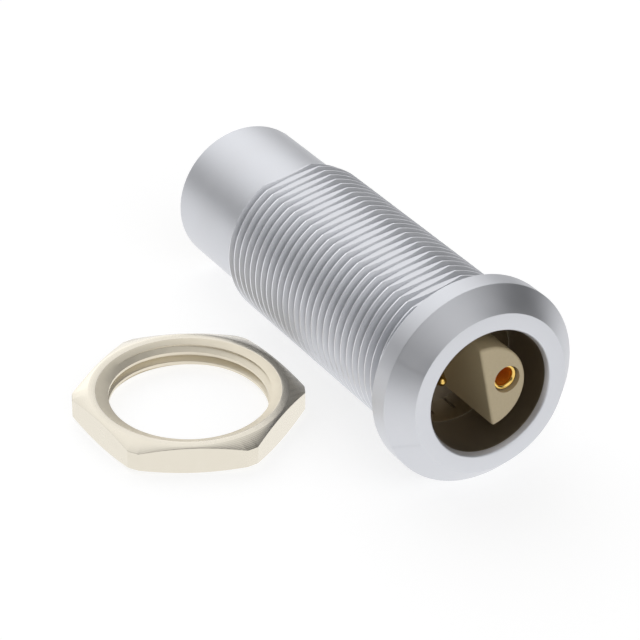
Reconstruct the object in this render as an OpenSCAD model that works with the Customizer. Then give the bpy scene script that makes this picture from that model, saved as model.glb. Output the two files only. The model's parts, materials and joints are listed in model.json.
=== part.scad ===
// Panel-mount through coupler with half-moon inserts, lying beside its loose hex nut.
// Each connector piece is drawn on the coupler's own axis: Z is 0 at the nose face and grows
// towards the tail, X is the side that carries a flat, and the front tongue fills the +Y half.
// lay_down() then rests the coupler on its flange rim and its tail rim, nose towards +X.

/* [Flange] */
// Diameter of the flange
flange_d = 18.2; // [17.8:0.1:20]
// Thickness of the flange, bevel included
flange_t = 4.1; // [3.6:0.1:6]
// How far back the nose bevel runs
bevel_depth = 2; // [1:0.1:2.6]
// Diameter of the flat nose face inside the bevel
nose_d = 14.6; // [13.2:0.1:15.6]
// Edge break at the back of the flange
flange_edge = 0.3; // [0.1:0.05:0.5]

/* [Barrel] */
// Crest diameter of the thread on the barrel
thread_d = 15; // [14.4:0.1:16]
// Pitch of that thread
thread_pitch = 1; // [0.75:0.05:1.25]
// Length of the threaded barrel
barrel_len = 28; // [22:0.1:32]
// Width across the two flats on the barrel
flats_across = 14; // [13.6:0.05:14.2]
// Lead chamfer at the thread's tail end
thread_lead = 0.2; // [0.1:0.05:0.7]

/* [Tail] */
// Diameter of the plain tail sleeve
tail_d = 13.5; // [13:0.05:13.8]
// Length of the plain tail sleeve
tail_len = 10.9; // [10:0.1:14]
// Edge break on the tail's end
tail_edge = 0.2; // [0.1:0.05:0.5]

/* [Sockets] */
// Bore of the socket at each end
socket_d = 11.2; // [10.9:0.05:11.8]
// Depth of each socket, from its mouth to its floor
socket_depth = 9; // [7.5:0.1:10]
// Widening of each socket at its mouth, on the radius
socket_lip = 0.2; // [0.1:0.05:0.4]
// Depth of the taper that widens it
socket_lip_len = 0.55; // [0.2:0.05:0.8]
// Thickness of the shoulder and of the ring that clamp the inserts
shoulder_t = 1.4; // [1:0.1:2]
// Bore that holds the inserts between the sockets
seat_d = 10.4; // [10.2:0.05:10.6]

/* [Inserts] */
// Diameter of the tongues and necks of the inserts
insert_d = 7.7; // [7.2:0.05:8.2]
// How far each tongue's face lies inside the mouth
tongue_recess = 0.8; // [0.4:0.1:1.6]
// Corner radius along the tongue's edges
tongue_round = 0.25; // [0.1:0.05:0.4]
// Counterbore around each socket contact, in diameter
contact_mouth_d = 2.45; // [2.4:0.05:2.6]
// Depth of that counterbore
contact_mouth_depth = 0.8; // [0.4:0.05:1]

/* [Contacts] */
// Distance of each contact from the split plane of the inserts
contact_offset = 2.1; // [1.8:0.05:2.2]
// Outer diameter of a contact's sleeve and shank
contact_d = 2.2; // [2.1:0.05:2.3]
// Diameter of a contact's pin
pin_d = 1.5; // [1.2:0.05:1.55]
// How far each pin's tip lies inside the mouth
pin_recess = 4; // [3.5:0.1:6]
// Length over which each pin narrows to its point
pin_taper = 1.3; // [0.8:0.1:2]
// Diameter of the ball at that point
pin_point_d = 0.85; // [0.6:0.05:1]
// Length of shank that is turned down to pin size inside the insert
pin_root = 1.5; // [1:0.1:2.5]
// Diameter of a contact's locating collar
collar_d = 3; // [2.6:0.05:3.1]
// Length of that collar
collar_t = 2; // [1:0.1:3]
// Depth of the hole in a contact's sleeve
sleeve_depth = 7; // [6:0.1:8]
// Length of the sleeve's closed lip ahead of its spring clip
sleeve_lip = 0.6; // [0.3:0.05:1]
// Wall of the sleeve around its spring clip
sleeve_wall = 0.18; // [0.12:0.01:0.2]
// Wall of the spring clip
clip_wall = 0.12; // [0.08:0.01:0.13]
// Width of the slot along the spring clip
clip_slot = 0.4; // [0.2:0.05:0.6]

/* [Ground crowns] */
// Length of each ground crown along the socket
crown_len = 3; // [2:0.1:3.4]
// Length of each crown's closed band, on its mouth side
crown_band = 1.1; // [0.6:0.05:1.3]
// Wall of the crowns
crown_wall = 0.25; // [0.15:0.01:0.35]
// Fingers on each crown
crown_fingers = 16; // [8:2:24]
// Width of the slots between the fingers
crown_slot = 0.2; // [0.1:0.05:0.4]

/* [Nut] */
// Width of the nut across its flats
nut_across = 18; // [17.6:0.1:20]
// Thickness of the nut
nut_t = 2.7; // [2.3:0.1:4]
// Diameter to which the nut's corners are turned
nut_corner_d = 20.2; // [19.6:0.1:20.4]
// Diameter of the flat ring on each of the nut's faces
nut_ring_d = 17.4; // [16.6:0.1:17.8]
// Slope of the chamfer over the nut's corners
nut_chamfer_angle = 20; // [15:1:35]
// Mouth diameter of the countersink on each side of the nut
nut_sink_d = 16.2; // [15.4:0.1:16.4]
// Included angle of that countersink
nut_sink_angle = 130; // [100:5:140]

/* [Fits] */
// Gap around the inserts in the shell
insert_gap = 0.05; // [0.02:0.01:0.1]
// Distance of each tongue's flat from the split plane
split_gap = 0.05; // [0.02:0.01:0.1]
// Gap around the contacts in the inserts
contact_gap = 0.03; // [0.01:0.01:0.05]
// Gap around the spring clips and the ground crowns
spring_gap = 0.02; // [0.01:0.01:0.04]

/* [Layout] */
// Turn of the coupler about its own axis, away from a level flat
roll = 10; // [0:1:12]
// Distance of the nut's centre behind the nose
nut_behind = 21.4; // [16:0.1:30]
// Space in plan between the barrel and a flat of the nut
nut_space = 0.5; // [0.2:0.1:8]
// Turn of the nut, from a flat that faces +X
nut_turn = 35; // [0:1:59]

/* [Hidden] */
$fn = 96;
overcut = 1;
flange_r = flange_d / 2;
nose_r = nose_d / 2;
thread_r = thread_d / 2;
tail_r = tail_d / 2;
socket_r = socket_d / 2;
seat_r = seat_d / 2;
insert_r = insert_d / 2;
contact_r = contact_d / 2;
pin_r = pin_d / 2;
point_r = pin_point_d / 2;
collar_r = collar_d / 2;
barrel_end = flange_t + barrel_len;
total_len = barrel_end + tail_len;
middle = total_len / 2;
seat_start = socket_depth + shoulder_t;
crown_start = socket_depth - crown_len;
neck_bore_r = insert_r + insert_gap;
base_r = seat_r - insert_gap;
sleeve_start = tongue_recess + contact_mouth_depth / 2;
cavity_r = contact_r - sleeve_wall;
clip_start = sleeve_start + sleeve_lip + spring_gap;
clip_end = sleeve_start + sleeve_depth - spring_gap;
// An internal ISO thread's crests stand 0.5413 of a pitch inside its nominal radius.
nut_bore_r = thread_r - 0.5413 * thread_pitch;
nut_corner_r = nut_corner_d / 2;

// The coupler tips back until its tail rim or its thread's end meets the floor.
contact_s = flange_t - flange_edge;
half_flat = acos(flats_across / thread_d);
barrel_low = thread_r * cos(max(0, half_flat - roll));
settle = min(
    atan((flange_r - tail_r) / (total_len - tail_edge - contact_s)),
    atan((flange_r - barrel_low) / (barrel_end - thread_lead - contact_s))
);

// Plan: the nut lies on the -Y side, and the whole is centred on the origin.
nut_beside = thread_r + nut_space + nut_across / 2;
nut_lean = abs(((nut_turn + 120) % 60) - 30);
nut_arc = acos(nut_across / nut_corner_d);
nut_reach = nut_corner_r * cos(max(0, nut_arc - nut_lean));
nose_x = (total_len * cos(settle) + (tail_r - tail_edge - nose_r) * sin(settle)) / 2;
nose_y = (nut_beside + nut_reach - flange_r) / 2;
nose_z = contact_s * sin(settle) + flange_r * cos(settle);

module lay_down() {
    translate([nose_x, nose_y, nose_z])
        rotate([0, -(90 + settle), 0])
            rotate([0, 0, -roll])
                children();
}

// Turns a front-end piece end for end, about the axis through the flats, for the tail.
module end_for_end() {
    translate([0, 0, total_len]) rotate([180, 0, 0]) children();
}

module drill(r, from, to) {
    translate([0, 0, from]) cylinder(r = r, h = to - from);
}

module shell_outline() {
    polygon([
        [0, 0], [nose_r, 0], [flange_r, bevel_depth],
        [flange_r, flange_t - flange_edge], [flange_r - flange_edge, flange_t],
        [thread_r, flange_t], [thread_r, barrel_end - thread_lead],
        [thread_r - thread_lead, barrel_end], [tail_r, barrel_end],
        [tail_r, total_len - tail_edge], [tail_r - tail_edge, total_len], [0, total_len]
    ]);
}

// The two slabs that plane the barrel down to its flats.
module flat_slabs() {
    for (side = [0, 180])
        rotate([0, 0, side])
            translate([flats_across / 2, -thread_r, flange_t])
                cube([thread_r, thread_d, barrel_len]);
}

// The taper at a socket's mouth; it starts outside, where its slope has carried on growing.
module socket_mouth() {
    wide_r = socket_r + socket_lip * (socket_lip_len + overcut) / socket_lip_len;
    translate([0, 0, -overcut])
        cylinder(r1 = wide_r, r2 = socket_r, h = socket_lip_len + overcut);
}

module shell_solid() {
    difference() {
        rotate_extrude() shell_outline();
        flat_slabs();
        drill(socket_r, -overcut, socket_depth);
        drill(neck_bore_r, socket_depth - overcut, seat_start + overcut);
        drill(seat_r, seat_start, total_len);
        end_for_end() drill(socket_r, -overcut, seat_start);
        socket_mouth();
        end_for_end() socket_mouth();
    }
}

// Half of the tongue's section: a bar of the given width whose outer face corner is rounded.
module rounded_bar(width) {
    back = seat_start - tongue_recess;
    translate([0, tongue_recess]) {
        square([width - tongue_round, back]);
        translate([0, tongue_round]) square([width, back - tongue_round]);
        translate([width - tongue_round, tongue_round]) circle(r = tongue_round);
    }
}

// The half-moon tongue: a round bar cut by a slab, both with the same rounded corner.
module tongue() {
    intersection() {
        rotate_extrude() rounded_bar(insert_r);
        translate([-insert_r, insert_d, 0])
            rotate([90, 0, 90])
                linear_extrude(insert_d)
                    mirror([1, 0]) rounded_bar(insert_d - split_gap);
    }
}

module insert_solid() {
    difference() {
        union() {
            tongue();
            drill(insert_r, socket_depth, seat_start);
            drill(base_r, seat_start, middle);
        }
        translate([0, contact_offset, 0]) {
            drill(contact_r + contact_gap, 0, middle + overcut);
            drill(contact_mouth_d / 2, 0, tongue_recess + contact_mouth_depth);
            collar_pocket();
        }
        translate([0, -contact_offset, 0]) {
            drill(pin_r + contact_gap, 0, middle);
            drill(contact_r + contact_gap, socket_depth + pin_root, middle + overcut);
            collar_pocket();
        }
    }
}

module collar_pocket() {
    drill(collar_r + contact_gap, middle - collar_t / 2, middle + overcut);
}

module clamp_ring_solid() {
    end_for_end()
        difference() {
            drill(socket_r - insert_gap, socket_depth, seat_start);
            drill(neck_bore_r, socket_depth - overcut, seat_start + overcut);
        }
}

module crown_solid() {
    outer_r = socket_r - spring_gap;
    difference() {
        drill(outer_r, crown_start, socket_depth);
        drill(outer_r - crown_wall, crown_start - overcut, socket_depth + overcut);
        for (i = [0 : crown_fingers / 2 - 1])
            rotate([0, 0, 360 * i / crown_fingers])
                translate([-socket_r, -crown_slot / 2, crown_start + crown_band])
                    cube([socket_d, crown_slot, crown_len - crown_band + overcut]);
    }
}

// A double-ended contact: a sleeve towards the nose, a collar, and a pin towards the tail.
module contact_solid() {
    pin_end = total_len - pin_recess;
    shank_end = total_len - socket_depth - pin_root;
    translate([0, contact_offset, 0])
        difference() {
            union() {
                drill(contact_r, sleeve_start, shank_end);
                drill(collar_r, middle - collar_t / 2, middle + collar_t / 2);
                drill(pin_r, shank_end, pin_end - pin_taper);
                translate([0, 0, pin_end - pin_taper])
                    cylinder(r1 = pin_r, r2 = point_r, h = pin_taper - point_r);
                translate([0, 0, pin_end - point_r]) sphere(r = point_r);
            }
            drill(pin_r + contact_gap, sleeve_start - overcut, sleeve_start + sleeve_depth);
            drill(cavity_r, sleeve_start + sleeve_lip, sleeve_start + sleeve_depth);
        }
}

module clip_solid() {
    outer_r = cavity_r - spring_gap;
    translate([0, contact_offset, 0])
        difference() {
            drill(outer_r, clip_start, clip_end);
            drill(outer_r - clip_wall, clip_start - overcut, clip_end + overcut);
            translate([0, -clip_slot / 2, clip_start - overcut])
                cube([contact_r, clip_slot, clip_end - clip_start + 2 * overcut]);
        }
}

// Hexagon turned down at its corners, with a shallow chamfer over them on both faces.
module nut_blank() {
    rise = (nut_corner_r - nut_ring_d / 2) * tan(nut_chamfer_angle);
    intersection() {
        linear_extrude(nut_t) circle(d = nut_across / cos(30), $fn = 6);
        rotate_extrude()
            polygon([
                [0, 0], [nut_ring_d / 2, 0], [nut_corner_r, rise],
                [nut_corner_r, nut_t - rise], [nut_ring_d / 2, nut_t], [0, nut_t]
            ]);
    }
}

module nut_sink() {
    slope = tan(nut_sink_angle / 2);
    depth = (nut_sink_d / 2 - nut_bore_r) / slope;
    cylinder(r1 = nut_sink_d / 2, r2 = nut_bore_r, h = depth);
}

module shell() { color("silver") lay_down() shell_solid(); }
module front_insert() { color("tan") lay_down() insert_solid(); }
module rear_insert() { color("tan") lay_down() end_for_end() insert_solid(); }
module clamp_ring() { color("dimgray") lay_down() clamp_ring_solid(); }
module front_crown() { color("darkgray") lay_down() crown_solid(); }
module rear_crown() { color("darkgray") lay_down() end_for_end() crown_solid(); }
module right_contact() { color("gold") lay_down() contact_solid(); }
module left_contact() { color("gold") lay_down() end_for_end() contact_solid(); }
module front_clip() { color("goldenrod") lay_down() clip_solid(); }
module rear_clip() { color("goldenrod") lay_down() end_for_end() clip_solid(); }

module hex_nut() {
    color("lightgray")
        translate([nose_x - nut_behind, nose_y - nut_beside, 0])
            rotate([0, 0, nut_turn + 30])
                difference() {
                    nut_blank();
                    drill(nut_bore_r, -overcut, nut_t + overcut);
                    nut_sink();
                    translate([0, 0, nut_t]) mirror([0, 0, 1]) nut_sink();
                }
}

shell();
front_insert();
rear_insert();
clamp_ring();
front_crown();
rear_crown();
right_contact();
left_contact();
front_clip();
rear_clip();
hex_nut();
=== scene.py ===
import json
from math import cos, hypot, pi, radians, sin, sqrt, tan

import bmesh
import bpy
from mathutils import Matrix, Quaternion, Vector


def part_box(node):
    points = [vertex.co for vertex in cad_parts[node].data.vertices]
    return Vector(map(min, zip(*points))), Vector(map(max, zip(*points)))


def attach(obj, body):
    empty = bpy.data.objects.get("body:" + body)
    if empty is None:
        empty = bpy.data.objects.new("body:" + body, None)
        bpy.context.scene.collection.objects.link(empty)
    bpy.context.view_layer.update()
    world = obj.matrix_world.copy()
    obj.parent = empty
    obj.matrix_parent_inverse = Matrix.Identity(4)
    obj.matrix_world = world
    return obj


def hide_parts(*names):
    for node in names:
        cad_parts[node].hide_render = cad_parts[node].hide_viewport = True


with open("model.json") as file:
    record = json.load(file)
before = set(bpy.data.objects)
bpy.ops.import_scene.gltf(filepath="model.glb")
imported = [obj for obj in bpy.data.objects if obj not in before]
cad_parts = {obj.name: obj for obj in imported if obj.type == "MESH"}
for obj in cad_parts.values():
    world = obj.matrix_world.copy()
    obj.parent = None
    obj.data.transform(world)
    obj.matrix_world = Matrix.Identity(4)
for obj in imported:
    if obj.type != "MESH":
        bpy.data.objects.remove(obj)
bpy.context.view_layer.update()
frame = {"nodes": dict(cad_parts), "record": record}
mm = 0.001
hair = 0.01             # mm, slack when faces are told apart by their place
touching = 0.002        # mm, two places closer than this are the same
weld = 1e-6             # m, corners closer than this are one
exact = 1e-7            # m, the same for a plane cut

# The coupler's own frame: z runs from its nose face to its tail, x stands square to its flats.
mounts = {mount["name"]: mount for mount in frame["record"]["mounts"]}
noseAt = Vector(mounts["front_socket"]["pos_m"])
tailAt = Vector(mounts["rear_socket"]["pos_m"])
seatAt = Vector(mounts["panel_seat"]["pos_m"])
sleeveAt = Vector(mounts["tail_sleeve"]["pos_m"])
nutAt = Vector(mounts["nut_thread"]["pos_m"])
tailWay = (tailAt - noseAt).normalized()
flatWay = (seatAt - noseAt - tailWay * tailWay.dot(seatAt - noseAt)).normalized()
couplerPlace = Matrix((flatWay, tailWay.cross(flatWay), tailWay)).transposed().to_4x4()
couplerPlace.translation = noseAt


def nodeSpan(node, axis):
    # how far a CAD node reaches along an axis of the room, in mm
    low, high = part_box(node)
    return (high[axis] - low[axis]) / mm


# Sizes that the CAD fixes, in mm.
totalLength = (tailAt - noseAt).length / mm
flangeBack = tailWay.dot(seatAt - noseAt) / mm
sleeveLength = mounts["tail_sleeve"]["dims"]["length_mm"]
barrelEnd = tailWay.dot(sleeveAt - noseAt) / mm - sleeveLength / 2
flangeR = nodeSpan("shell", 1) / 2
threadR = mounts["panel_barrel"]["dims"]["r_mm"]
tailR = mounts["tail_sleeve"]["dims"]["r_mm"]
nutBoreR = mounts["nut_thread"]["dims"]["r_mm"]
nutHeight = nodeSpan("hex_nut", 2)


camera = {
    "lens": 162.77,              # mm, on a 36 mm sensor
    "azimuth": -30.08,           # degrees from +x
    "elevation": 32.26,
    "roll": 0.98,
    "distance": 255.12,          # mm from the aim point
    "aim": (-0.81, 5.12, 5.18),  # mm
}


def addCamera():
    turn = Matrix.Rotation(radians(camera["azimuth"]), 3, "Z")
    back = turn @ Matrix.Rotation(radians(-camera["elevation"]), 3, "Y") @ Vector((1, 0, 0))
    aim = Vector(camera["aim"]) * mm
    bpy.ops.object.camera_add(location=aim + back * camera["distance"] * mm)
    cam = bpy.context.object
    cam.rotation_mode = "QUATERNION"
    level = (-back).to_track_quat("-Z", "Y")
    cam.rotation_quaternion = level @ Quaternion((0, 0, 1), radians(camera["roll"]))
    cam.data.lens = camera["lens"]
    cam.data.sensor_width = 36
    cam.data.clip_start, cam.data.clip_end = 0.01, 20
    bpy.context.scene.camera = cam


addCamera()
bpy.context.scene.view_settings.view_transform = "Standard"
print("camera set")


def only(piece):
    bpy.ops.object.select_all(action="DESELECT")
    piece.select_set(True)
    bpy.context.view_layer.objects.active = piece


def toEdit(piece, select="DESELECT"):
    only(piece)
    bpy.ops.object.mode_set(mode="EDIT")
    bpy.ops.mesh.select_mode(type="VERT")
    bpy.ops.mesh.select_all(action=select)


def toObject():
    bpy.ops.object.mode_set(mode="OBJECT")


def applyPlace(piece):
    only(piece)
    bpy.ops.object.transform_apply(location=True, rotation=True, scale=True)


def pickEdges(piece, test):
    # adds the edges whose two ends both pass the test
    bpy.ops.mesh.select_mode(type="EDGE")
    net = bmesh.from_edit_mesh(piece.data)
    for edge in net.edges:
        if all(test(vert.co / mm) for vert in edge.verts):
            edge.select_set(True)
    bmesh.update_edit_mesh(piece.data)


def pickFaces(piece, test):
    # adds the faces whose middle passes the test
    bpy.ops.mesh.select_mode(type="FACE")
    net = bmesh.from_edit_mesh(piece.data)
    for face in net.faces:
        if test(face.calc_center_median() / mm):
            face.select_set(True)
    bmesh.update_edit_mesh(piece.data)


def near(a, b):
    return abs(a - b) < touching


def drawn(name, outline):
    # a closed line through (radius, height) points in mm, drawn by extruding one vertex
    radius, height = outline[0]
    bpy.ops.mesh.primitive_plane_add(size=mm, location=(radius * mm, 0, height * mm))
    piece = bpy.context.object
    piece.name = piece.data.name = name
    applyPlace(piece)
    toEdit(piece, "SELECT")
    bpy.ops.mesh.merge(type="CENTER")
    for (r0, z0), (r1, z1) in zip(outline, outline[1:] + outline[:1]):
        step = ((r1 - r0) * mm, 0, (z1 - z0) * mm)
        bpy.ops.mesh.extrude_region_move(TRANSFORM_OT_translate={"value": step})
    bpy.ops.mesh.select_all(action="SELECT")
    bpy.ops.mesh.remove_doubles(threshold=weld)
    return piece


def turned(name, outline, rings=(), steps=128):
    # spins an outline about z, then rounds the rings given as (radius, height, width)
    piece = drawn(name, outline)
    bpy.ops.mesh.spin(steps=steps, angle=2 * pi, center=(0, 0, 0), axis=(0, 0, 1))
    bpy.ops.mesh.select_all(action="SELECT")
    bpy.ops.mesh.remove_doubles(threshold=weld)
    bpy.ops.mesh.delete_loose()
    bpy.ops.mesh.select_all(action="SELECT")
    bpy.ops.mesh.normals_make_consistent(inside=False)
    for radius, height, width in rings:
        bpy.ops.mesh.select_all(action="DESELECT")
        pickEdges(piece, lambda p: near(hypot(p.x, p.y), radius) and near(p.z, height))
        bpy.ops.mesh.bevel(offset=width * mm, segments=4, affect="EDGES")
    toObject()
    return piece


def combine(piece, tool, how):
    # joins, cuts or keeps what both hold, and throws the tool away
    only(piece)
    cut = piece.modifiers.new(how, "BOOLEAN")
    cut.operation = how
    cut.solver = "MANIFOLD"
    cut.object = tool
    bpy.ops.object.modifier_apply(modifier=how)
    bpy.data.objects.remove(tool)


def copied(piece, name):
    only(piece)
    bpy.ops.object.duplicate()
    twin = bpy.context.object
    twin.name = twin.data.name = name
    return twin


def layDown(piece, place, node, finishes, sharp=30):
    # puts a finished piece in its place, gives it its finish and stands it in for its CAD node
    piece.matrix_world = place
    applyPlace(piece)
    toEdit(piece, "SELECT")
    bpy.ops.mesh.dissolve_degenerate(threshold=weld)      # slivers that the cuts left
    toObject()
    bpy.ops.object.shade_smooth_by_angle(angle=radians(sharp))
    flatter = piece.modifiers.new("flatter", "WEIGHTED_NORMAL")   # broad faces keep their own light
    flatter.keep_sharp = True
    bpy.ops.object.modifier_apply(modifier="flatter")
    piece.data.materials.clear()
    for finish in finishes:
        piece.data.materials.append(finish)
    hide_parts(node)
    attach(piece, "root")


def lineWith(piece, place, finish, inside):
    # gives a finish to the faces whose middle, in the piece's own frame, passes the test
    inward = place.inverted()
    toEdit(piece)
    pickFaces(piece, lambda p: inside(inward @ (p * mm) / mm))
    piece.active_material_index = finish
    bpy.ops.object.material_slot_assign()
    toObject()


thread = {
    "pitch": 1.0,           # mm
    "depth": 0.6134,        # from crest to root, as a share of the pitch
    "crestFlat": 0.125,     # flat on the crest, as a share of the pitch
    "rootFlat": 0.25,       # flat at the root, as a share of the pitch
    "sunk": 0.1,            # mm, how far a ridge's foot goes into the metal under it
}
rootR = threadR - thread["depth"] * thread["pitch"]


def coil(name, outerR, innerR, start, turns, steps=128):
    # a right-handed helical ridge about z, with its foot sunk below the inner radius
    foot = (1 - thread["rootFlat"]) * thread["pitch"] / 2
    crest = thread["crestFlat"] * thread["pitch"] / 2
    sunk = innerR - thread["sunk"]
    profile = [(sunk, -foot), (innerR, -foot), (outerR, -crest),
               (outerR, crest), (innerR, foot), (sunk, foot)]
    piece = drawn(name, [(r, z + start) for r, z in profile])
    toObject()
    screw = piece.modifiers.new("screw", "SCREW")
    screw.axis = "Z"
    screw.angle = 2 * pi
    screw.screw_offset = thread["pitch"] * mm
    screw.iterations = turns
    screw.steps = screw.render_steps = steps
    bpy.ops.object.modifier_apply(modifier="screw")
    toEdit(piece, "SELECT")
    bpy.ops.mesh.fill_holes(sides=0)
    bpy.ops.mesh.normals_make_consistent(inside=False)
    toObject()
    return piece


def shade(code):
    # an sRGB hex colour as the linear values that Blender works in
    parts = [int(code[i:i + 2], 16) / 255 for i in (0, 2, 4)]
    return (*[p / 12.92 if p <= 0.04045 else ((p + 0.055) / 1.055) ** 2.4 for p in parts], 1)


def addNode(tree, kind, values=None, links=None, **settings):
    node = tree.nodes.new(kind)
    for key, value in settings.items():
        setattr(node, key, value)
    for socket, value in (values or {}).items():
        node.inputs[socket].default_value = value
    for socket, source in (links or {}).items():
        tree.links.new(source, node.inputs[socket])
    return node


def newMaterial(name):
    material = bpy.data.materials.new(name)
    material.use_nodes = True
    material.node_tree.nodes.clear()
    return material, material.node_tree


def startFinish(name, place, grain, colours, roughness, values):
    # a finish in its piece's own frame: noise with grains this many mm across moves the colour
    # and the roughness between their two ends
    material, tree = newMaterial(name)
    room = addNode(tree, "ShaderNodeTexCoord")
    point = addNode(tree, "ShaderNodeMapping",
                    {"Location": place.to_translation(), "Rotation": place.to_euler()},
                    {"Vector": room.outputs["Object"]}, vector_type="TEXTURE").outputs[0]
    grains = addNode(tree, "ShaderNodeTexNoise", {"Scale": 1 / (grain * mm), "Detail": 3},
                     {"Vector": point}).outputs["Fac"]
    colour = addNode(tree, "ShaderNodeMix", {"A": shade(colours[0]), "B": shade(colours[1])},
                     {"Factor": grains}, data_type="RGBA")
    rough = addNode(tree, "ShaderNodeMapRange",          # noise seldom leaves 0.3 to 0.7
                    {"From Min": 0.3, "From Max": 0.7, "To Min": roughness[0], "To Max": roughness[1]},
                    {"Value": grains})
    shader = addNode(tree, "ShaderNodeBsdfPrincipled", values,
                     {"Base Color": colour.outputs["Result"], "Roughness": rough.outputs["Result"]})
    addNode(tree, "ShaderNodeOutputMaterial", links={"Surface": shader.outputs[0]})
    return material, tree, point, grains, shader


def satinChrome():
    # brass, blasted and chrome plated: a grey metal that gives broad soft reflections
    material, tree, point, patches, shader = startFinish(
        "satinChrome", couplerPlace, grain=2.5, colours=("C8CACF", "D5D6DA"),
        roughness=(0.46, 0.52), values={"Metallic": 1.0})
    blast = addNode(tree, "ShaderNodeTexNoise", {"Scale": 1 / (0.12 * mm), "Detail": 3},
                    {"Vector": point})                   # coarser than the real grit, so that it shows
    pits = addNode(tree, "ShaderNodeBump", {"Strength": 1.0, "Distance": 0.004 * mm},
                   {"Height": blast.outputs["Fac"]})
    tree.links.new(pits.outputs["Normal"], shader.inputs["Normal"])
    return material


def rubbedChrome():
    # the barrel's crests: a lighter colour than the blasted metal between them, a painted highlight along
    # each crest, and a smoother finish
    return startFinish("rubbedChrome", couplerPlace, grain=0.4, colours=("E2E4E9", "ECEDF1"),
                       roughness=(0.38, 0.46), values={"Metallic": 1.0})[0]


def lipChrome():
    # the same plating just inside the mouths, where the blast thins out: greyer and duller
    return startFinish("lipChrome", couplerPlace, grain=0.12, colours=("D6D6DA", "E0E0E4"),
                       roughness=(0.4, 0.5), values={"Metallic": 0.7})[0]


def boreNickel():
    # the machined inside of the sockets, dull; its colour is darker and browner than the chrome, painted
    # shade down the bores
    return startFinish("boreNickel", couplerPlace, grain=0.3, colours=("A39A8C", "AFA698"),
                       roughness=(0.42, 0.52), values={"Metallic": 1.0})[0]


def darkNickel():
    # thin nickel on sprung bronze: a shade lighter than the bore
    return startFinish("darkNickel", couplerPlace, grain=0.2, colours=("C9BFAE", "D3C9B9"),
                       roughness=(0.30, 0.40), values={"Metallic": 1.0})[0]


def insertPlastic():
    # natural PEEK, machined: a warm tan with a faint speckle and a dull sheen
    material, tree, point, speckle, shader = startFinish(
        "insertPlastic", couplerPlace, grain=0.25, colours=("B9A986", "C5B593"),
        roughness=(0.42, 0.52), values={"Metallic": 0.0, "IOR": 1.65})
    cutter = addNode(tree, "ShaderNodeBump", {"Strength": 1.0, "Distance": 0.004 * mm},
                     {"Height": speckle})
    tree.links.new(cutter.outputs["Normal"], shader.inputs["Normal"])
    return material


def goldPlate():
    # hard gold over nickel on the contacts: a yellow mirror with the faintest turning
    return startFinish("goldPlate", couplerPlace, grain=0.3, colours=("D8B25C", "E2C072"),
                       roughness=(0.14, 0.20), values={"Metallic": 1.0})[0]


def drilledGold():
    # the unpolished inside of the socket contacts: the same gold, dull, its colour painted a deep orange
    # as painted light, standing in for the light it bounces round the hole
    return startFinish("drilledGold", couplerPlace, grain=0.2, colours=("F09A28", "F8AA38"),
                       roughness=(0.35, 0.45), values={"Metallic": 0.55})[0]


def brightNickel():
    # turned brass, nickel plated: warm and nearly a mirror, with fine tool rings on what the lathe cut
    material, tree, point, patches, shader = startFinish(
        "brightNickel", Matrix.Translation(nutAt), grain=1.2, colours=("D0CABC", "D9D3C6"),
        roughness=(0.20, 0.28), values={"Metallic": 1.0})
    toolStep = 0.16 * mm                                 # coarser than a real cut, so that it shows
    rings = addNode(tree, "ShaderNodeTexWave",           # at a scale of 1 its rings are 2 pi / 20 apart
                    {"Scale": 2 * pi / 20 / toolStep, "Distortion": 0.6, "Detail": 2, "Detail Scale": 1.5},
                    {"Vector": point}, wave_type="RINGS", rings_direction="Z")
    ridges = addNode(tree, "ShaderNodeBump", {"Strength": 1.0, "Distance": 0.002 * mm},
                     {"Height": rings.outputs["Fac"]})
    tree.links.new(ridges.outputs["Normal"], shader.inputs["Normal"])
    return material


def tappedNickel():
    # the same nickel where the tap and the countersink cut: duller, so it blurs what it mirrors
    return startFinish("tappedNickel", Matrix.Translation(nutAt), grain=0.8,
                       colours=("D8D0BE", "E1D9C8"), roughness=(0.40, 0.48), values={"Metallic": 1.0})[0]


finishes = {build.__name__: build() for build in (
    satinChrome, rubbedChrome, lipChrome, boreNickel, darkNickel, insertPlastic, goldPlate, drilledGold,
    brightNickel, tappedNickel)}
print("finishes mixed")


shell = {
    "noseR": 7.3, "bevelDepth": 2.0,        # flat nose face and the bevel round it
    "socketR": 5.6, "socketDepth": 9.0,     # the bore at each end
    "lipR": 5.8, "lipDepth": 0.55,          # the taper at its mouth
    "neckR": 3.9, "seatR": 5.2, "shoulder": 1.4,
    "flatsAcross": 14.0, "lead": 0.2,       # the barrel's flats and its lead chamfer
    "crispEdge": 0.04, "mouthEdge": 0.14, "flangeEdge": 0.3, "tailEdge": 0.2,
}
seatStart = shell["socketDepth"] + shell["shoulder"]


def threadRidge():
    # the barrel's ridge, trimmed by its two flats and its lead chamfer
    start = flangeBack - thread["pitch"]
    turns = int((barrelEnd - flangeBack) / thread["pitch"]) + 3
    ridge = coil("ridge", threadR, rootR, start, turns)
    over = 0.4                   # mm, how far the form reaches past the ridge
    keep = turned("keep", [
        (0, start + over), (threadR + over, start + over),
        (threadR + over, barrelEnd - shell["lead"] - over),
        (threadR - shell["lead"], barrelEnd), (0, barrelEnd),
    ])
    for side in (1, -1):
        toEdit(keep, "SELECT")
        bpy.ops.mesh.bisect(plane_co=(side * shell["flatsAcross"] / 2 * mm, 0, 0),
                            plane_no=(side, 0, 0), use_fill=True, clear_outer=True, threshold=exact)
        toObject()
    combine(ridge, keep, "INTERSECT")
    return ridge


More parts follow.
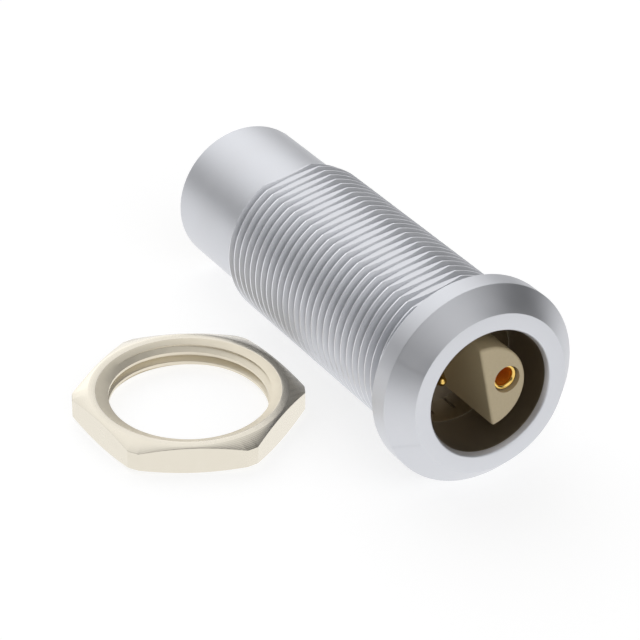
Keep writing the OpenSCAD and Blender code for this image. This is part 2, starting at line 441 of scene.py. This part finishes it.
def buildShell():
    s = shell
    mouth = totalLength - seatStart
    body = turned("shell_dressed", [
        (s["socketR"], s["lipDepth"]), (s["lipR"], 0), (s["noseR"], 0),
        (flangeR, s["bevelDepth"]), (flangeR, flangeBack), (rootR, flangeBack), (rootR, barrelEnd),
        (tailR, barrelEnd), (tailR, totalLength), (s["lipR"], totalLength),
        (s["socketR"], totalLength - s["lipDepth"]), (s["socketR"], mouth), (s["seatR"], mouth),
        (s["seatR"], seatStart), (s["neckR"], seatStart), (s["neckR"], s["socketDepth"]),
        (s["socketR"], s["socketDepth"]),
    ], rings=[
        (s["socketR"], s["lipDepth"], s["mouthEdge"]), (s["lipR"], 0, s["mouthEdge"]),
        (s["noseR"], 0, s["crispEdge"]),
        (flangeR, s["bevelDepth"], s["crispEdge"]), (flangeR, flangeBack, s["flangeEdge"]),
        (tailR, totalLength, s["tailEdge"]), (s["lipR"], totalLength, s["mouthEdge"]),
        (s["socketR"], totalLength - s["lipDepth"], s["mouthEdge"]),
    ])
    combine(body, threadRidge(), "UNION")
    layDown(body, couplerPlace, "shell",
            [finishes["satinChrome"], finishes["boreNickel"], finishes["lipChrome"],
             finishes["rubbedChrome"]], sharp=28)
    # the bores take the darker nickel: painted shade down the sockets
    lineWith(body, couplerPlace, 1, lambda p: hypot(p.x, p.y) < s["socketR"] + hair)
    lineWith(body, couplerPlace, 2, lambda p: s["socketR"] + hair < hypot(p.x, p.y) < s["lipR"] - hair)
    # the crests take the lighter chrome: a painted highlight along each crest
    lineWith(body, couplerPlace, 3, lambda p: flangeBack + hair < p.z < barrelEnd - hair
             and hypot(p.x, p.y) > threadR - hair)


buildShell()
print("shell turned and threaded")


nut = {
    "across": 18.0, "cornerR": 10.1,        # across the flats, and the turned corners
    "ringR": 8.7, "chamferAngle": 20,       # the flat ring and the slope outside it
    "sinkR": 8.1, "sinkAngle": 130,         # the countersinks
    "edge": 0.04, "edgeAngle": 15,          # edge break, and the least bend that gets one
    "turn": 35, "steps": 192,               # where a flat faces, and the sides to a turn
}


def buildNut():
    n = nut
    bar = nutHeight + 1
    bpy.ops.mesh.primitive_cylinder_add(vertices=6, radius=n["across"] / sqrt(3) * mm,
                                        depth=bar * mm, location=(0, 0, nutHeight / 2 * mm))
    body = bpy.context.object
    body.name = body.data.name = "hex_nut_dressed"
    applyPlace(body)
    rise = (n["cornerR"] - n["ringR"]) * tan(radians(n["chamferAngle"]))
    combine(body, turned("blank", [
        (0, 0), (n["ringR"], 0), (n["cornerR"], rise),
        (n["cornerR"], nutHeight - rise), (n["ringR"], nutHeight), (0, nutHeight),
    ], steps=n["steps"]), "INTERSECT")
    only(body)
    edges = body.modifiers.new("edges", "BEVEL")
    edges.limit_method = "ANGLE"
    edges.angle_limit = radians(n["edgeAngle"])
    edges.width = n["edge"] * mm
    edges.segments = 2
    bpy.ops.object.modifier_apply(modifier="edges")
    over = 0.5                   # mm, how far the drill reaches past each face
    slope = tan(radians(n["sinkAngle"] / 2))
    depth = (n["sinkR"] - nutBoreR) / slope
    innerR, outerR, below = n["sinkR"] - n["edge"], n["sinkR"] + n["edge"], n["edge"] / slope
    combine(body, turned("bore", [
        (0, -over), (outerR + over, -over), (outerR, 0), (innerR, below), (nutBoreR, depth),
        (nutBoreR, nutHeight - depth), (innerR, nutHeight - below), (outerR, nutHeight),
        (outerR + over, nutHeight + over), (0, nutHeight + over),
    ], steps=n["steps"]), "DIFFERENCE")
    turns = int(nutHeight / thread["pitch"]) + 3
    tap = coil("tap", threadR, nutBoreR, -thread["pitch"], turns, n["steps"])
    combine(body, tap, "DIFFERENCE")
    place = Matrix.Translation((nutAt.x, nutAt.y, 0)) @ Matrix.Rotation(radians(n["turn"]), 4, "Z")
    layDown(body, place, "hex_nut", [finishes["brightNickel"], finishes["tappedNickel"]])
    lineWith(body, place, 1, lambda p: hypot(p.x, p.y) < n["sinkR"] - n["edge"])


buildNut()
print("nut cut")


endForEnd = Matrix.Translation((0, 0, totalLength * mm)) @ Matrix.Rotation(pi, 4, "X")
middle = totalLength / 2

contact = {
    "offset": 2.1,                          # from the split plane to each contact
    "sleeveR": 1.1, "holeR": 0.78, "cavityR": 0.92,
    "lipLength": 0.6, "sleeveDepth": 7.0,   # the closed lip, and the hole's depth
    "pinR": 0.75, "pinRecess": 4.0, "pinRoot": 1.5,
    "pinTaper": 1.3, "pointR": 0.425,       # the pin's narrowing point and the ball that ends it
    "collarR": 1.5, "collarLength": 2.0,
    "recess": 1.2, "mouthRound": 0.28,      # from the mouth to the sleeve's end, and its rounded lead-in
    "brightMouth": 0.3,                     # how far the polish goes into the hole
    "edge": 0.04, "shankRound": 0.1, "pointRound": 0.4,     # edge break, shoulder and tip of the pin
}

insert = {
    "tongueR": 3.85, "recess": 0.8, "edge": 0.25,
    "splitGap": 0.05, "baseR": 5.15,
    "mouthR": 1.225, "mouthDepth": 0.8,     # counterbore round the socket contact
    "holeGap": 0.03,
}


def buildContacts():
    c = contact
    pinEnd = totalLength - c["pinRecess"]
    shankEnd = totalLength - shell["socketDepth"] - c["pinRoot"]
    collarStart, collarEnd = middle - c["collarLength"] / 2, middle + c["collarLength"] / 2
    bottom = c["recess"] + c["sleeveDepth"]
    lipEnd = c["recess"] + c["lipLength"]
    right = turned("right_contact_dressed", [
        (c["holeR"], c["recess"]), (c["sleeveR"], c["recess"]), (c["sleeveR"], collarStart),
        (c["collarR"], collarStart), (c["collarR"], collarEnd), (c["sleeveR"], collarEnd),
        (c["sleeveR"], shankEnd), (c["pinR"], shankEnd), (c["pinR"], pinEnd - c["pinTaper"]),
        (c["pointR"], pinEnd - c["pointR"]), (c["pointR"], pinEnd), (0, pinEnd),
        (0, bottom), (c["cavityR"], bottom), (c["cavityR"], lipEnd), (c["holeR"], lipEnd),
    ], rings=[
        (c["sleeveR"], c["recess"], c["edge"]), (c["holeR"], c["recess"], c["mouthRound"]),
        (c["pointR"], pinEnd, c["pointRound"]), (c["sleeveR"], shankEnd, c["shankRound"]),
    ], steps=64)
    left = copied(right, "left_contact_dressed")
    aside = Matrix.Translation((0, c["offset"] * mm, 0))
    for piece, place, node in ((right, couplerPlace @ aside, "right_contact"),
                               (left, couplerPlace @ endForEnd @ aside, "left_contact")):
        layDown(piece, place, node, [finishes["goldPlate"], finishes["drilledGold"]])
        # inside the hole the colour is painted deep orange: painted light from the gold's own bounces
        lineWith(piece, place, 1, lambda p: hypot(p.x, p.y) < c["cavityR"] + hair
                 and c["recess"] + c["brightMouth"] < p.z < bottom + hair)


def contactHole(outline, side):
    # a drill of this outline, set over one contact
    tool = turned("drill", outline, steps=64)
    tool.location = (0, side * contact["offset"] * mm, 0)
    applyPlace(tool)
    return tool


def buildInserts():
    i, c = insert, contact
    length = shell["socketDepth"] - i["recess"]
    bpy.ops.mesh.primitive_cylinder_add(vertices=64, radius=i["tongueR"] * mm, depth=length * mm,
                                        location=(0, 0, (i["recess"] + length / 2) * mm))
    body = bpy.context.object
    body.name = body.data.name = "front_insert_dressed"
    applyPlace(body)
    toEdit(body, "SELECT")
    bpy.ops.mesh.bisect(plane_co=(0, i["splitGap"] * mm, 0), plane_no=(0, -1, 0),
                        use_fill=True, clear_outer=True, threshold=exact)
    bpy.ops.mesh.select_all(action="DESELECT")
    pickEdges(body, lambda p: near(p.z, i["recess"]))
    for side in (1, -1):
        pickEdges(body, lambda p: near(p.y, i["splitGap"]) and side * p.x > 1)
    bpy.ops.mesh.bevel(offset=i["edge"] * mm, segments=5, affect="EDGES")
    toObject()
    combine(body, turned("base", [
        (0, shell["socketDepth"]), (i["tongueR"], shell["socketDepth"]), (i["tongueR"], seatStart),
        (i["baseR"], seatStart), (i["baseR"], middle), (0, middle),
    ]), "UNION")
    over = 1                     # mm, how far the drills reach past the middle
    holeR, pinHoleR = c["sleeveR"] + i["holeGap"], c["pinR"] + i["holeGap"]
    collarR, collarStart = c["collarR"] + i["holeGap"], middle - c["collarLength"] / 2
    mouthEnd = i["recess"] + i["mouthDepth"]
    pinEnd = shell["socketDepth"] + c["pinRoot"]
    combine(body, contactHole([
        (0, 0), (i["mouthR"], 0), (i["mouthR"], mouthEnd), (holeR, mouthEnd), (holeR, collarStart),
        (collarR, collarStart), (collarR, middle + over), (0, middle + over),
    ], 1), "DIFFERENCE")
    combine(body, contactHole([
        (0, 0), (pinHoleR, 0), (pinHoleR, pinEnd), (holeR, pinEnd), (holeR, collarStart),
        (collarR, collarStart), (collarR, middle + over), (0, middle + over),
    ], -1), "DIFFERENCE")
    twin = copied(body, "rear_insert_dressed")
    plastic = [finishes["insertPlastic"]]
    layDown(body, couplerPlace, "front_insert", plastic)
    layDown(twin, couplerPlace @ endForEnd, "rear_insert", plastic)


buildContacts()
buildInserts()
print("contacts and inserts fitted")


crown = {
    "gap": 0.02, "wall": 0.25, "length": 3.0,
    "band": 1.1, "leadIn": 0.2,             # the closed band, and how far it opens towards the mouth
    "cuts": 8, "slot": 0.2,                 # cuts through both walls, and their width
}


def buildCrowns():
    c = crown
    outerR = shell["socketR"] - c["gap"]
    innerR = outerR - c["wall"]
    start, end = shell["socketDepth"] - c["length"], shell["socketDepth"]
    bandEnd = start + c["band"]
    front = turned("front_crown_dressed", [
        (innerR + c["leadIn"], start), (outerR, start), (outerR, end), (innerR, end), (innerR, bandEnd),
    ])
    over = 0.5                   # mm, how far the saw reaches past the ring
    for turn in range(c["cuts"]):
        bpy.ops.mesh.primitive_cube_add(size=mm, location=(0, 0, (bandEnd + end + over) / 2 * mm),
                                        rotation=(0, 0, pi * turn / c["cuts"]),
                                        scale=(2 * outerR + over, c["slot"], end - bandEnd + over))
        saw = bpy.context.object
        applyPlace(saw)
        combine(front, saw, "DIFFERENCE")
    rear = copied(front, "rear_crown_dressed")
    for piece, place, node in ((front, couplerPlace, "front_crown"),
                               (rear, couplerPlace @ endForEnd, "rear_crown")):
        layDown(piece, place, node, [finishes["darkNickel"], finishes["boreNickel"]])
        # the crown's lead-in face takes the bore's darker nickel: painted shade that dims its lit edge
        lineWith(piece, place, 1, lambda p: near(p.z, start))


buildCrowns()
print("crowns sprung")


def dressNode(node, finish):
    piece = frame["nodes"][node]
    piece.data.materials.clear()
    piece.data.materials.append(finishes[finish])


dressNode("clamp_ring", "darkNickel")
dressNode("front_clip", "drilledGold")
dressNode("rear_clip", "drilledGold")
print("ring and clips dressed")


stage = {
    "floorTone": "F4F4F4", "floorSize": 4,      # its paint, and its side in metres
    "floorShine": 1.25,         # how bright metal sees the floor
    "floorGlow": 0.6,           # the share of that shine that the eye sees
    "fill": 0.11,               # light from every side
    # soft boxes painted on the sky: (degrees from +x, degrees up, reach in degrees, strength)
    "boxes": ((180, 50, 60, 1.22), (0, 35, 45, 1.38), (165, 5, 30, 0.95)),
}


def addFloor():
    bpy.ops.mesh.primitive_plane_add(size=stage["floorSize"], location=(0, 0, 0))
    floor = bpy.context.object
    floor.name = floor.data.name = "floor"
    material, tree = newMaterial("whiteBoard")
    rays = addNode(tree, "ShaderNodeLightPath")
    eye = addNode(tree, "ShaderNodeMath", {1: stage["floorGlow"]}, {0: rays.outputs["Is Camera Ray"]},
                  operation="MULTIPLY")
    share = addNode(tree, "ShaderNodeMath", links={0: eye.outputs[0], 1: rays.outputs["Is Glossy Ray"]},
                    operation="MAXIMUM")
    glow = addNode(tree, "ShaderNodeEmission", {"Color": (1, 1, 1, 1), "Strength": stage["floorShine"]})
    card = addNode(tree, "ShaderNodeBsdfDiffuse", {"Color": shade(stage["floorTone"])})
    mixed = addNode(tree, "ShaderNodeMixShader",
                    links={0: share.outputs[0], 1: card.outputs[0], 2: glow.outputs[0]})
    addNode(tree, "ShaderNodeOutputMaterial", links={"Surface": mixed.outputs[0]})
    floor.data.materials.append(material)


def skyWay(azimuth, elevation):
    flat = cos(radians(elevation))
    return (flat * cos(radians(azimuth)), flat * sin(radians(azimuth)), sin(radians(elevation)))


def addSky():
    world = bpy.data.worlds.new("studio")
    bpy.context.scene.world = world
    world.use_nodes = True
    tree = world.node_tree
    tree.nodes.clear()
    way = addNode(tree, "ShaderNodeTexCoord").outputs["Generated"]
    light = addNode(tree, "ShaderNodeValue").outputs[0]
    light.default_value = stage["fill"]
    for azimuth, elevation, reach, strength in stage["boxes"]:
        facing = addNode(tree, "ShaderNodeVectorMath", {1: skyWay(azimuth, elevation)}, {0: way},
                         operation="DOT_PRODUCT")
        box = addNode(tree, "ShaderNodeMapRange",
                      {"From Min": cos(radians(reach)), "From Max": 1, "To Min": 0, "To Max": strength},
                      {"Value": facing.outputs["Value"]}, interpolation_type="SMOOTHSTEP")
        light = addNode(tree, "ShaderNodeMath", links={0: light, 1: box.outputs["Result"]},
                        operation="ADD").outputs[0]
    rays = addNode(tree, "ShaderNodeLightPath")
    sky = addNode(tree, "ShaderNodeBackground", {"Color": (1, 1, 1, 1)}, {"Strength": light})
    plain = addNode(tree, "ShaderNodeBackground", {"Color": (1, 1, 1, 1), "Strength": 1.0})
    mixed = addNode(tree, "ShaderNodeMixShader",
                    links={0: rays.outputs["Is Camera Ray"], 1: sky.outputs[0], 2: plain.outputs[0]})
    addNode(tree, "ShaderNodeOutputWorld", links={"Surface": mixed.outputs[0]})


addFloor()
addSky()
print("stage lit")
